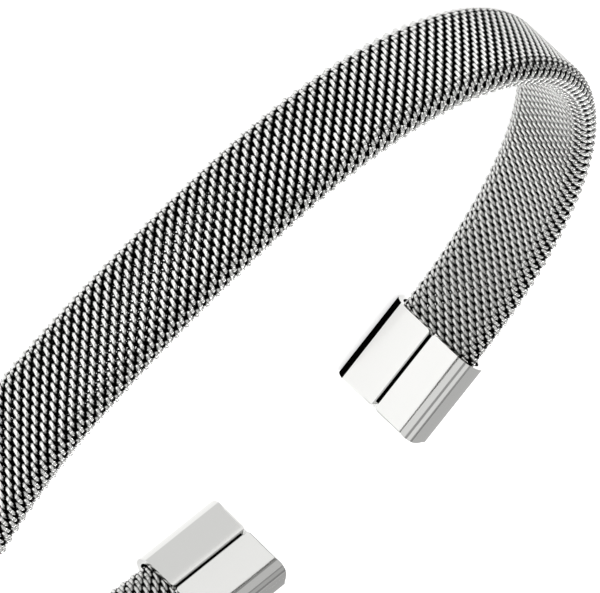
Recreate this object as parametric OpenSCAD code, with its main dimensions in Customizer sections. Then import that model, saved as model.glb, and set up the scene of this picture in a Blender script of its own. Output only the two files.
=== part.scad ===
// Open kada bracelet: a woven steel band bent to an oval, with a folded sheet sleeve on each end.
// It lies on its side: the floor is at z = 0, the band's width stands along Z, the open ends face -Y.
// Millimetres, origin in the middle of the footprint.

/* [Band] */
// Width of the woven band, along Z
band_w = 7.5; // [5:0.1:10]
// Thickness of the woven band
band_t = 2.3; // [1.6:0.1:3]
// Centre-line radius of the flat back
back_r = 59.3; // [50:0.1:80]
// Half of the angle that the back spans
back_a = 8.8; // [5:0.1:12]
// Centre-line radius of the two sides
side_r = 26.45; // [24:0.05:32]
// Angle that each side spans
side_a = 151.1; // [140:0.1:156]
// Length of band held inside each sleeve
tongue_l = 6.4; // [3:0.1:6.8]

/* [End sleeves] */
// Length of a sleeve
cap_l = 7.5; // [7.3:0.1:12]
// Width of a sleeve, along Z
cap_w = 8.65; // [8.4:0.05:12]
// Thickness of a sleeve over its two flat faces
cap_t = 3.3; // [3.3:0.05:5]
// Thickness of the folded sheet
sheet_t = 0.45; // [0.3:0.05:0.45]
// Width of the right sleeve's open seam, on its inner face
right_seam_w = 0.26; // [0.1:0.02:0.6]
// Height of that seam above the middle of the sleeve
right_seam_z = 0; // [-1:0.05:1]
// Width of the left sleeve's open seam
left_seam_w = 0.18; // [0.1:0.02:0.6]
// Height of that seam above the middle of the sleeve
left_seam_z = -0.3; // [-1:0.05:1]
// Radius where the sheet rolls in at the seam
seam_r = 0.12; // [0.1:0.02:0.4]
// Radius of the sheet's corners where the seam meets the closed end
corner_r = 0.5; // [0.2:0.05:0.8]
// Radius of the sheet's corners where the seam meets the woven band
mouth_r = 0.35; // [0.2:0.05:0.8]
// Radius of the two long edges of the closed end
edge_r = 0.2; // [0.1:0.05:0.4]
// Radius of the closed end's upper corner, seen on the flat faces
tip_r = 0.5; // [0.2:0.05:0.8]
// Radius of its lower corner
heel_r = 0.15; // [0.1:0.05:0.8]

/* [Hidden] */
$fn = 96;
eps = 0.01;
// The back and the tongues are this much slimmer than the sides, and reach this far into them
slim = 0.02;
lap = 0.5;
lap_a = lap / back_r * 180 / PI;
mid_z = cap_w / 2;
bend_x = (back_r - side_r) * sin(back_a);
bend_y = (back_r - side_r) * cos(back_a) - back_r;
end_a = back_a + side_a;
end_x = bend_x + side_r * sin(end_a);
end_y = bend_y + side_r * cos(end_a);
turn_a = 90 - end_a;
tip_y = end_y - (cap_l - edge_r) * sin(end_a) + (cap_t / 2 - edge_r) * cos(end_a) - edge_r;
shift_y = -(tip_y + band_t / 2) / 2;

// Flat strip with half-round edges: t along X, w along Y
module strip(w, t) {
  square([t, w - t], center = true);
  translate([0, (w - t) / 2]) circle(d = t);
  translate([0, (t - w) / 2]) circle(d = t);
}

// Sweeps a strip section round Z at radius r from angle a0 through da
module bend(r, a0, da, w, t) {
  rotate([0, 0, a0])
    rotate_extrude(angle = da)
      translate([r, 0]) strip(w, t);
}

// Moves a shape drawn from the origin towards -Y to the right end of the band
module at_end() {
  translate([end_x, end_y, 0]) rotate([0, 0, turn_a]) children();
}

// Straight piece of a flat section, l long towards -Y, from y = -y0
module run(y0, l) {
  translate([0, -y0, 0]) rotate([90, 0, 0]) linear_extrude(height = l) children();
}

// Right side of the band, with its tongue inside the sleeve
module side() {
  translate([bend_x, bend_y, 0]) bend(side_r, 90 - end_a, side_a, band_w, band_t);
  at_end() run(-lap, tongue_l + lap) strip(band_w - slim, band_t - slim);
}

// Woven band as one solid with its true outer shape
module mesh_band() {
  color([0.72, 0.73, 0.74])
    translate([0, shift_y, mid_z]) {
      translate([0, -back_r, 0])
        bend(back_r, 90 - back_a - lap_a, 2 * (back_a + lap_a), band_w - slim, band_t - slim);
      side();
      mirror([1, 0, 0]) side();
    }
}

// Section of a seam w wide at height z: a slot with its two outer edges rolled in
module seam_section(w, z) {
  half = w / 2;
  face = -cap_t / 2;
  translate([face - eps, z - half]) square([sheet_t + 2 * eps, w]);
  difference() {
    translate([face - eps, z - half - seam_r]) square([seam_r + eps, w + 2 * seam_r]);
    translate([face + seam_r, z - half - seam_r]) circle(r = seam_r);
    translate([face + seam_r, z + half + seam_r]) circle(r = seam_r);
  }
}

// Opening of a seam w wide between two sheet corners of radius r, at y = 0 and growing narrow towards +Y
module corner_gap(r, w) {
  reach = w / 2 + r;
  difference() {
    translate([-reach, -eps]) square([2 * reach, r + eps]);
    translate([-reach, r]) circle(r = r);
    translate([reach, r]) circle(r = r);
  }
}

// Rounded corners of the sheet at both ends of the seam, cut through the inner face
module seam_mouths(w, z) {
  translate([-cap_t / 2 - eps, 0, z])
    rotate([0, 90, 0])
      linear_extrude(height = sheet_t) {
        translate([0, -cap_l]) corner_gap(corner_r, w);
        mirror([0, 1]) corner_gap(mouth_r, w);
      }
}

// Half of an outline w wide, on the +X side, from the origin to y = -cap_l, its far corner of radius r
module half_blunt(w, r) {
  translate([-eps, r - cap_l]) square([w / 2 + eps, cap_l - r + eps]);
  translate([-eps, -cap_l]) square([w / 2 - r + eps, r + eps]);
  translate([w / 2 - r, r - cap_l]) circle(r = r);
}

// The whole outline, its far corners of radius r0 at -X and r1 at +X
module blunt(w, r0, r1) {
  mirror([1, 0]) half_blunt(w, r0);
  half_blunt(w, r1);
}

// Outside of a sleeve, its closed end rounded at the long edges and at the corners
module shell() {
  intersection() {
    run(0, cap_l + eps) strip(cap_w, cap_t);
    translate([0, 0, -cap_w]) linear_extrude(height = 2 * cap_w) blunt(cap_t, edge_r, edge_r);
    translate([-cap_t, 0, 0])
      rotate([0, 90, 0])
        linear_extrude(height = 2 * cap_t) blunt(cap_w, tip_r, heel_r);
  }
}

// Folded sheet sleeve with a closed outer end and, on the inner face, a seam w wide at height z
module cap(w, z) {
  translate([0, shift_y, mid_z]) at_end()
    difference() {
      shell();
      run(-eps, cap_l - sheet_t + eps) strip(cap_w - 2 * sheet_t, cap_t - 2 * sheet_t);
      run(-eps, cap_l + 2 * eps) seam_section(w, z);
      seam_mouths(w, z);
    }
}

module cap_right() {
  color([0.86, 0.86, 0.86]) cap(right_seam_w, right_seam_z);
}

module cap_left() {
  color([0.86, 0.86, 0.86]) mirror([1, 0, 0]) cap(left_seam_w, left_seam_z);
}

mesh_band();
cap_right();
cap_left();
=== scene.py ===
import math
import bpy
from mathutils import Matrix, Vector


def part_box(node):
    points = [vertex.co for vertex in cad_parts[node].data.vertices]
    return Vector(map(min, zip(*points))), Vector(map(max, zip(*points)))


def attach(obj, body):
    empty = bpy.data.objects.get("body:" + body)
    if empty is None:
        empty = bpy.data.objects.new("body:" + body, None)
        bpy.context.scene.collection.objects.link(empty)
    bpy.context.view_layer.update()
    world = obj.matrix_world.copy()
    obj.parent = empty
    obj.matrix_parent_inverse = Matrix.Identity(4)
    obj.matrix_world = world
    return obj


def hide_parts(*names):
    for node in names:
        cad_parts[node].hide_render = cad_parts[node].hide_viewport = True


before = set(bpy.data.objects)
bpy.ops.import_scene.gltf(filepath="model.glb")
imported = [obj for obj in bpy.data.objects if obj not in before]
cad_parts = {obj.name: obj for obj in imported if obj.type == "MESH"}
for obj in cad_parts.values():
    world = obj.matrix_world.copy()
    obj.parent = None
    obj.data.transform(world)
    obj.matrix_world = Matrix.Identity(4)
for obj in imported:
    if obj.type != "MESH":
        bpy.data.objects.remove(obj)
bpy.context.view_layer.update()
mm = 0.001


# small helpers

def deselectAll():
    if bpy.context.object and bpy.context.object.mode != "OBJECT":
        bpy.ops.object.mode_set(mode="OBJECT")
    bpy.ops.object.select_all(action="DESELECT")


def makeActive(piece):
    deselectAll()
    piece.select_set(True)
    bpy.context.view_layer.objects.active = piece


def applyModifiers(piece):
    makeActive(piece)
    for name in [m.name for m in piece.modifiers]:
        bpy.ops.object.modifier_apply(modifier=name)


def selectVertices(piece, wanted):
    # leaves the piece in edit mode, with the vertices selected whose place is wanted
    makeActive(piece)
    bpy.ops.object.mode_set(mode="EDIT")
    bpy.ops.mesh.select_mode(type="VERT")
    bpy.ops.mesh.select_all(action="DESELECT")
    bpy.ops.object.mode_set(mode="OBJECT")
    for v in piece.data.vertices:
        v.select = wanted(v.co)
    bpy.ops.object.mode_set(mode="EDIT")


def hexColour(code):
    # sRGB hex to linear RGBA
    parts = [int(code[i:i + 2], 16) / 255 for i in (1, 3, 5)]
    linear = [c / 12.92 if c <= 0.04045 else ((c + 0.055) / 1.055) ** 2.4 for c in parts]
    return (*linear, 1)


def addNode(tree, kind, settings=None, inputs=None):
    # settings are attributes of the node, inputs are values or output sockets to link
    node = tree.nodes.new(kind)
    for key, value in (settings or {}).items():
        setattr(node, key, value)
    for key, value in (inputs or {}).items():
        if isinstance(value, bpy.types.NodeSocket):
            tree.links.new(value, node.inputs[key])
        else:
            node.inputs[key].default_value = value
    return node


def newMaterial(name):
    material = bpy.data.materials.new(name)
    material.use_nodes = True
    material.node_tree.nodes.clear()
    return material, material.node_tree


# route of the band's centre line, seen from above

band = {
    "thick": 2.3 * mm,
    "width": 7.5 * mm,
    "slim": 0.02 * mm,         # the flat back is this much thinner in the CAD
    "backRadius": 59.3 * mm,
    "backHalfAngle": 8.8,
    "sideRadius": 26.45 * mm,
    "sideAngle": 151.1,
    "tongue": 6.4 * mm,        # held inside each sleeve
    "arcStep": 1.2,            # degrees between points of the route
}


def bandRoute():
    low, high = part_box("mesh_band")
    backY = high.y - (band["thick"] - band["slim"]) / 2
    turn = math.radians(band["backHalfAngle"])
    end = turn + math.radians(band["sideAngle"])
    backRadius, sideRadius = band["backRadius"], band["sideRadius"]
    backCentre = Vector((0, backY - backRadius, 0))
    sideCentre = backCentre + (backRadius - sideRadius) * Vector((math.sin(turn), math.cos(turn), 0))
    step = math.radians(band["arcStep"])
    sideSteps = round((end - turn) / step)
    half = []
    for i in range(sideSteps + 1):             # right side, from its sleeve to the back
        a = end - (end - turn) * i / sideSteps
        half.append(sideCentre + sideRadius * Vector((math.sin(a), math.cos(a), 0)))
    backSteps = round(turn / step)
    for i in range(1, backSteps + 1):
        a = turn * (1 - i / backSteps)
        half.append(backCentre + backRadius * Vector((math.sin(a), math.cos(a), 0)))
    heading = Vector((math.cos(end), -math.sin(end), 0))   # out of the band into the right sleeve
    half.insert(0, half[0] + band["tongue"] * heading)
    mirrored = [Vector((-p.x, p.y, 0)) for p in reversed(half[:-1])]
    points = half + mirrored
    middle = Vector((0, 0, (low.z + high.z) / 2))
    return [p + middle for p in points]


routePoints = bandRoute()
routeLength = sum((b - a).length for a, b in zip(routePoints, routePoints[1:]))
routeCurve = bpy.data.curves.new("bandRoute", "CURVE")
routeCurve.dimensions = "3D"
routeCurve.twist_mode = "Z_UP"
line = routeCurve.splines.new("POLY")
line.points.add(len(routePoints) - 1)
for spot, p in zip(line.points, routePoints):
    spot.co = (*p, 1)
route = bpy.data.objects.new("bandRoute", routeCurve)
bpy.context.scene.collection.objects.link(route)
print("route", round(routeLength / mm, 2), "mm")


# woven wire: a flattened tube of small coils that lie along the band, side by side all round its
# section, each half a turn on from the one before
# modelled straight along X with the band's outer face towards -Y, then bent along the route

weave = {
    "wire": 0.345 * mm,         # diameter
    "wireSides": 6,
    "faceInset": 0.012 * mm,    # the wire lies this far inside the band's skin
    "pitch": 0.9975 * mm,       # one turn, along the band
    "rows": 38,                 # coils, counted all round the section
    "loopHeight": 0.86 * mm,    # of one turn, between wire centres, along the skin
    "loopDepth": 0.45 * mm,     # of one turn, between wire centres, into the band
    "outerLean": 0.25,          # run along the band for each mm of outer strand
    "innerLean": 0.24,          # the same on the inner face
    "turnRun": 0.20 * mm,       # run along the band while the wire goes round an end of the loop
    "endSteps": 3,              # straight pieces round an end of the loop
    "phase": 1.015 * mm,        # place along the band of the coil in the middle of the outer face
    "rimRows": (9, 10, 28, 29), # the coils at the two edges of the band
    "rimProud": 0.12 * mm,      # how far they stand out from the others
    "turnsLeftOff": 2,          # a coil is this many turns shorter than the route
    "weld": 0.01 * mm,          # points of two turns that lie closer than this become one
    "coilsPerPiece": 8,         # coils joined into one finished piece
}

flatHalf = (band["width"] - band["thick"]) / 2 - weave["rimProud"]
wireRound = (band["thick"] - weave["wire"]) / 2 - weave["faceInset"]
skinLength = 4 * flatHalf + 2 * math.pi * wireRound


def skinPoint(along, depth):
    # place (y, z) in the section
    # along runs from the outer face's middle line up to the upper edge, over it and on round
    side, r = 1, wireRound - depth
    along = (along + flatHalf) % skinLength
    if along > skinLength / 2:      # the second half is the first turned half round
        along, side = along - skinLength / 2, -1
    if along < 2 * flatHalf:
        y, z = -r, along - flatHalf
    else:
        a = (along - 2 * flatHalf) / wireRound
        y, z = -r * math.cos(a), flatHalf + r * math.sin(a)
    return side * y, side * z


def turnPoints(row):
    # one turn's centre line as (x, y, z): a strand up the skin, inwards, back under it and out again
    centre = row * skinLength / weave["rows"]
    r = weave["loopDepth"] / 2
    straight = weave["loopHeight"] / 2 - r
    inward = (1 + skinPoint(centre, 0)[0] / wireRound) / 2
    lean = weave["outerLean"] + (weave["innerLean"] - weave["outerLean"]) * inward
    steps = weave["endSteps"]
    points = [(0, 0, 0)]
    for end in (1, -1):
        for k in range(steps + 1):
            a = math.pi * (k if end > 0 else steps - k) / steps
            up = end * (straight + r * math.sin(a))
            run = weave["turnRun"] * (1 - math.cos(a)) / 2
            x = lean * up + run if end > 0 else weave["pitch"] + lean * up - run
            points.append((x, up, r * (1 - math.cos(a))))
    points.append((weave["pitch"], 0, 0))
    out = weave["rimProud"] if row in weave["rimRows"] else 0
    return [(x, *skinPoint(centre + up, depth - out)) for x, up, depth in points]


def makeTurn(name, points):
    # a curve with a round bevel, drawn with the coil's axis up so that the wire doesn't twist
    curve = bpy.data.curves.new(name, "CURVE")
    curve.dimensions = "3D"
    curve.twist_mode = "Z_UP"
    curve.bevel_depth = weave["wire"] / 2
    curve.bevel_resolution = weave["wireSides"] // 2 - 2
    spline = curve.splines.new("POLY")
    spline.points.add(len(points) - 1)
    for spot, (x, y, z) in zip(spline.points, points):
        spot.co = (y, z, x, 1)
    piece = bpy.data.objects.new(name, curve)
    bpy.context.scene.collection.objects.link(piece)
    makeActive(piece)
    bpy.ops.object.convert(target="MESH")
    piece = bpy.context.object
    piece.matrix_world = Matrix(((0, 0, 1, 0), (1, 0, 0, 0), (0, 1, 0, 0), (0, 0, 0, 1)))
    bpy.ops.object.transform_apply(location=True, rotation=True, scale=True)
    return piece


def makeCoil(name, coil):
    # the turn repeated along the band, its two cut ends closed
    coil.name = name
    coil.data.name = name
    array = coil.modifiers.new("turns", "ARRAY")
    array.fit_type = "FIXED_COUNT"
    array.count = int(routeLength / weave["pitch"]) - weave["turnsLeftOff"]
    array.use_relative_offset = False
    array.use_constant_offset = True
    array.constant_offset_displace = (weave["pitch"], 0, 0)
    array.use_merge_vertices = True
    array.merge_threshold = weave["weld"]
    applyModifiers(coil)
    bpy.ops.object.mode_set(mode="EDIT")
    bpy.ops.mesh.select_mode(type="EDGE")
    bpy.ops.mesh.select_all(action="DESELECT")
    bpy.ops.mesh.select_non_manifold(extend=False, use_wire=False, use_boundary=True,
                                     use_multi_face=False, use_non_contiguous=False, use_verts=False)
    bpy.ops.mesh.edge_face_add()
    bpy.ops.object.mode_set(mode="OBJECT")
    return coil


# painted shade on the wire: depths under the skin where the wire starts to darken and where it is fully
# dark, and a painted darkening all over (the least shade); on the oval's sides the dark comes nearer to
# the skin
paintedShade = {
    "outerBack": (0.10 * mm, 0.18 * mm, 0),
    "outerSide": (0.08 * mm, 0.125 * mm, 0),
    "outerFade": (51 * mm, 60 * mm),     # from the band's end: all side before, all back after
    "innerMouth": (0.12 * mm, 0.44 * mm, 0.26),
    "innerSide": (0.075 * mm, 0.18 * mm, 0),
    "innerFade": (12 * mm, 28 * mm),     # all mouth before, all side after
    "innerFacing": (0.6, 1),             # share facing inwards: all outer before, all inner after
    "sleeve": 0.3 * mm,                  # all dark inside a sleeve, from this far behind its mouth
}


def clamped(value, start, end):
    return min(max((value - start) / (end - start), 0), 1)


def blended(first, second, share):
    return [a + (b - a) * share for a, b in zip(first, second)]


def markRecessShade(coil):
    # painted shade: 0 on the band's skin, 1 where the wire lies deep in the weave or inside a sleeve
    hidden = band["tongue"] - paintedShade["sleeve"]
    recessShade = coil.data.attributes.new("recessShade", "FLOAT", "POINT")
    for v, entry in zip(coil.data.vertices, recessShade.data):
        fromEnd = min(v.co.x, routeLength - v.co.x)
        outerShare = clamped(fromEnd, *paintedShade["outerFade"])
        outer = blended(paintedShade["outerSide"], paintedShade["outerBack"], outerShare)
        innerShare = clamped(fromEnd, *paintedShade["innerFade"])
        inner = blended(paintedShade["innerMouth"], paintedShade["innerSide"], innerShare)
        fromMiddle = math.hypot(v.co.y, max(abs(v.co.z) - flatHalf, 0))
        facing = v.co.y / fromMiddle if fromMiddle else 0   # 1 inner face, 0 mid rim, -1 outer face
        start, end, leastShade = blended(outer, inner, clamped(facing, *paintedShade["innerFacing"]))
        depth = band["thick"] / 2 - fromMiddle
        # not held to 0 and 1 here, so that the change falls at its own depth on a wire's few faces
        entry.value = 1 if fromEnd < hidden else max((depth - start) / (end - start), leastShade)


coils = []
for row in range(weave["rows"]):
    coil = makeCoil(f"coil{row}", makeTurn(f"turn{row}", turnPoints(row)))
    along = weave["phase"] + weave["pitch"] * (0.5 * (row % 2) - row / weave["rows"])
    coil.data.transform(Matrix.Translation((along, 0, 0)))
    markRecessShade(coil)
    coils.append(coil)
print("coils", len(coils), "faces", sum(len(c.data.polygons) for c in coils))


def joinPieces(name, pieces):
    deselectAll()
    for piece in pieces:
        piece.select_set(True)
    bpy.context.view_layer.objects.active = pieces[0]
    if len(pieces) > 1:
        bpy.ops.object.join()
    joined = bpy.context.object
    joined.name = name
    joined.data.name = name
    return joined


bundles = []
for first in range(0, weave["rows"], weave["coilsPerPiece"]):
    name = f"woven_wire_{len(bundles) + 1}"
    bundle = joinPieces(name, coils[first:first + weave["coilsPerPiece"]])
    bend = bundle.modifiers.new("bend", "CURVE")
    bend.object = route
    bend.deform_axis = "POS_X"
    applyModifiers(bundle)
    bundles.append(bundle)
for bundle in bundles:
    makeActive(bundle)
    bpy.ops.object.shade_smooth()
bpy.data.objects.remove(route)
print("pieces of woven wire", len(bundles))


# materials

wireFinish = {
    "bright": "#ececea",
    # the dark tone is painted shade, for the recesses of the weave and the wire inside the sleeves
    "dark": "#0a0a0a",           # in the recesses
    "markSize": 0.25 * mm,       # of the draw marks
    "roughness": (0.16, 0.30),
}
sleeveFinish = {
    "hazeSize": 1.5 * mm,        # of the patches of haze
    "roughness": (0.05, 0.11),
    "sheets": {
        "cap_right": ("mirror polished stainless sheet", "#e0e0de"),
        # painted shade: the same sheet as on the right sleeve, in a darker tone
        "cap_left": ("mirror polished stainless sheet, painted darker", "#cfcfcd"),
    },
}


def roughnessNoise(tree, size, detail, limits):
    # patches of a real size, as a roughness between two limits
    place = addNode(tree, "ShaderNodeTexCoord")
    noise = addNode(tree, "ShaderNodeTexNoise", {}, {
        "Vector": place.outputs["Object"], "Scale": 1 / size, "Detail": detail})
    return addNode(tree, "ShaderNodeMapRange", {}, {
        "Value": noise.outputs["Fac"], "To Min": limits[0], "To Max": limits[1]}).outputs["Result"]


def brightWire():
    # drawn stainless wire, tumbled bright: mirror-like along the wire with fine draw marks, its colour
    # darkened by painted shade deep in the weave and inside the sleeves
    material, tree = newMaterial("tumbled stainless wire, painted recess shade")
    recessShade = addNode(tree, "ShaderNodeAttribute", {"attribute_name": "recessShade"})
    tone = addNode(tree, "ShaderNodeMix", {"data_type": "RGBA"}, {
        "Factor": recessShade.outputs["Fac"],
        "A": hexColour(wireFinish["bright"]), "B": hexColour(wireFinish["dark"])})
    shader = addNode(tree, "ShaderNodeBsdfPrincipled", {}, {
        "Base Color": tone.outputs["Result"], "Metallic": 1.0,
        "Roughness": roughnessNoise(tree, wireFinish["markSize"], 3, wireFinish["roughness"])})
    addNode(tree, "ShaderNodeOutputMaterial", {}, {"Surface": shader.outputs["BSDF"]})
    return material


def polishedSheet(name, tone):
    # a mirror finish with a faint haze from handling, so the studio shows in it as clean bands
    material, tree = newMaterial(name)
    shader = addNode(tree, "ShaderNodeBsdfPrincipled", {}, {
        "Base Color": hexColour(tone), "Metallic": 1.0,
        "Roughness": roughnessNoise(tree, sleeveFinish["hazeSize"], 4, sleeveFinish["roughness"])})
    addNode(tree, "ShaderNodeOutputMaterial", {}, {"Surface": shader.outputs["BSDF"]})
    return material


wireMetal = brightWire()
for bundle in bundles:
    bundle.data.materials.clear()
    bundle.data.materials.append(wireMetal)
    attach(bundle, "root")
    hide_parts("mesh_band")
for name, (finish, tone) in sleeveFinish["sheets"].items():
    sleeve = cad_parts[name]
    sleeve.data.materials.clear()
    sleeve.data.materials.append(polishedSheet(finish, tone))
print("materials")


# floor, light and camera

studio = {
    "floorSize": 4,             # metres
    "floorGlow": 0.70,          # the opal board is lit from below, which keeps the shadows faint
    "floorTones": ("#e4e4e4", "#e0e0e0"),
    "floorGrain": 8 * mm,       # size of the board's faint clouds
    "surround": 0.15,           # brightness of the white tent
    # azimuth from +Y to -X and elevation in degrees, distance, width, height, brightness
    "panels": {
        "lowPanel": (36, 15, 0.8, 1.0, 0.54, 0.50),
        "highPanel": (36, 56, 0.8, 0.9, 0.28, 0.50),
        "rightPanel": (-50, 28, 0.8, 0.9, 0.52, 0.35),
        "crossPanel": (-50, 66, 0.8, 0.9, 0.40, 0.18),
        "frontPanel": (0, 40, 1.2, 5.0, 2.2, 0.23),
        "topPanel": (180, 45, 0.7, 0.7, 2.4, 0.41),
        "leftStrip": (122, 26, 0.8, 0.30, 0.6, 2.0),
        "backLeftStrip": (150, 35, 0.8, 0.16, 0.7, 4.0),
        "backRightStrip": (-145, 35, 0.8, 0.16, 0.7, 4.0),
    },
    # painted reflections: glowing strips on the board beside the sleeves, seen in reflections alone,
    # that lay a dark stripe and light and grey bands on the sleeves
    # two long edges, measured from the sleeve's middle plane into the oval, start from its mouth, reach
    # past its closed end, how far the second edge slides towards that end, brightness
    "cards": {
        "blackReflectionSheet": ("cap_right", -1.0 * mm, 1.74 * mm, 0, 0.6 * mm, 0, 0),
        "whiteReflectionSheet": ("cap_left", -0.2 * mm, 1.6 * mm, 0, 0.6 * mm, 0, 1.4),
        "greyReflectionSheet": ("cap_left", 1.6 * mm, 11.8 * mm, -1.456 * mm, 0.544 * mm, 3.468 * mm, 1.0),
        "outerReflectionSheetRight": ("cap_right", -9 * mm, -3 * mm, -6 * mm, 6 * mm, 0, 0.6),
        "outerReflectionSheetLeft": ("cap_left", -9 * mm, -3 * mm, -6 * mm, 6 * mm, 0, 0.6),
    },
    "cardHeight": 0.003 * mm,   # above the board
    "sleeveThick": 3.3 * mm,    # over its two flat faces
}


def paleFloor():
    # opal acrylic board, matt, lit evenly from below as on a light table
    material, tree = newMaterial("opal acrylic board")
    place = addNode(tree, "ShaderNodeTexCoord")
    grain = addNode(tree, "ShaderNodeTexNoise", {}, {
        "Vector": place.outputs["Object"], "Scale": 1 / studio["floorGrain"], "Detail": 2})
    first, second = studio["floorTones"]
    shade = addNode(tree, "ShaderNodeMix", {"data_type": "RGBA"}, {
        "Factor": grain.outputs["Fac"], "A": hexColour(first), "B": hexColour(second)})
    shader = addNode(tree, "ShaderNodeBsdfPrincipled", {}, {
        "Base Color": shade.outputs["Result"], "Roughness": 0.9,
        "Emission Color": hexColour("#ffffff"), "Emission Strength": studio["floorGlow"]})
    addNode(tree, "ShaderNodeOutputMaterial", {}, {"Surface": shader.outputs["BSDF"]})
    return material


deselectAll()
bpy.ops.mesh.primitive_plane_add(size=studio["floorSize"], location=(0, 0, 0))
floor = bpy.context.object
floor.name = "floor"
floor.data.materials.append(paleFloor())


def lightPanel(name, azimuth, elevation, distance, width, height, brightness):
    az, el = math.radians(azimuth), math.radians(elevation)
    place = distance * Vector((-math.sin(az) * math.cos(el), math.cos(az) * math.cos(el), math.sin(el)))
    bpy.ops.object.light_add(type="AREA", location=place)
    lamp = bpy.context.object
    lamp.name = name
    lamp.data.shape = "RECTANGLE"
    lamp.data.size, lamp.data.size_y = width, height
    lamp.data.energy = brightness * math.pi * width * height
    lamp.rotation_mode = "QUATERNION"
    lamp.rotation_quaternion = (-place).to_track_quat("-Z", "Y")
    lamp.visible_camera = False


for name, numbers in studio["panels"].items():
    lightPanel(name, *numbers)


def paintedReflectionGlow(brightness):
    # painted reflection: a glow of one tone, black at brightness 0
    material, tree = newMaterial("painted reflection glow")
    shader = addNode(tree, "ShaderNodeEmission", {}, {
        "Color": hexColour("#ffffff"), "Strength": brightness})
    addNode(tree, "ShaderNodeOutputMaterial", {}, {"Surface": shader.outputs["Emission"]})
    return material


def reflectionOnlySheet(name, sleeve, near, far, start, past, slide, brightness):
    ends = routePoints if sleeve == "cap_right" else routePoints[::-1]
    mouth, tip = ends[1], ends[0]
    along = (tip - mouth).normalized()
    facing = Vector((-along.y, along.x, 0))   # into the oval
    if facing.y < 0:
        facing = -facing
    low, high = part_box(sleeve)
    sleeveLength = ((high - low).x - abs(facing.x) * studio["sleeveThick"]) / abs(along.x)
    end = sleeveLength + past
    middle = mouth + along * (start + end) / 2 + facing * (near + far) / 2
    deselectAll()
    bpy.ops.mesh.primitive_plane_add(
        size=1, location=(middle.x, middle.y, studio["cardHeight"]),
        rotation=(0, 0, math.atan2(along.y, along.x)))
    card = bpy.context.object
    card.name = name
    card.scale = (end - start, far - near, 1)
    bpy.ops.object.transform_apply(location=True, rotation=True, scale=True)
    if slide:
        selectVertices(card, lambda p: (p - middle).dot(facing) > 0)   # the second edge
        bpy.ops.transform.translate(value=along * slide)
        bpy.ops.object.mode_set(mode="OBJECT")
    card.data.materials.append(paintedReflectionGlow(brightness))
    for rays in ("camera", "diffuse", "transmission", "volume_scatter", "shadow"):
        setattr(card, "visible_" + rays, False)   # glossy rays alone see it


for name, numbers in studio["cards"].items():
    reflectionOnlySheet(name, *numbers)

world = bpy.data.worlds.new("studio")
bpy.context.scene.world = world
world.use_nodes = True
world.node_tree.nodes["Background"].inputs["Color"].default_value = hexColour("#ffffff")
world.node_tree.nodes["Background"].inputs["Strength"].default_value = studio["surround"]

photo = {
    "azimuth": 183.763,       # degrees round Z, the camera is behind the cuff's back
    "elevation": 19.075,
    "roll": 133.509,          # the photo is turned this far round the line of sight
    "distance": 511.1 * mm,
    "sideways": 4.298 * mm,   # the camera's place across and up its own view
    "upwards": 5.681 * mm,
    "target": 1.460 * mm,     # the point looked at, this far behind the middle of the footprint
    "lens": 429.06,           # millimetres, as the sensor's width is
    "sensor": 36,
    "nearAndFar": (0.01, 20), # metres
}


def placeCamera():
    low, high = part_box("mesh_band")
    az, el, roll = (math.radians(photo[k]) for k in ("azimuth", "elevation", "roll"))
    back = Vector((math.sin(az) * math.cos(el), -math.cos(az) * math.cos(el), math.sin(el)))
    level = (-back).cross(Vector((0, 0, 1))).normalized()
    upright = level.cross(-back)
    right = math.cos(roll) * level + math.sin(roll) * upright
    up = -math.sin(roll) * level + math.cos(roll) * upright
    target = Vector((0, photo["target"], (low.z + high.z) / 2))
    data = bpy.data.cameras.new("photoCamera")
    data.lens = photo["lens"]
    data.sensor_width = photo["sensor"]
    data.clip_start, data.clip_end = photo["nearAndFar"]
    camera = bpy.data.objects.new("photoCamera", data)
    bpy.context.scene.collection.objects.link(camera)
    camera.matrix_world = Matrix((right, up, back)).transposed().to_4x4()
    aside = photo["sideways"] * right + photo["upwards"] * up
    camera.location = target + photo["distance"] * back + aside
    bpy.context.scene.camera = camera


placeCamera()
bpy.context.scene.view_settings.view_transform = "Standard"
print("light and camera")
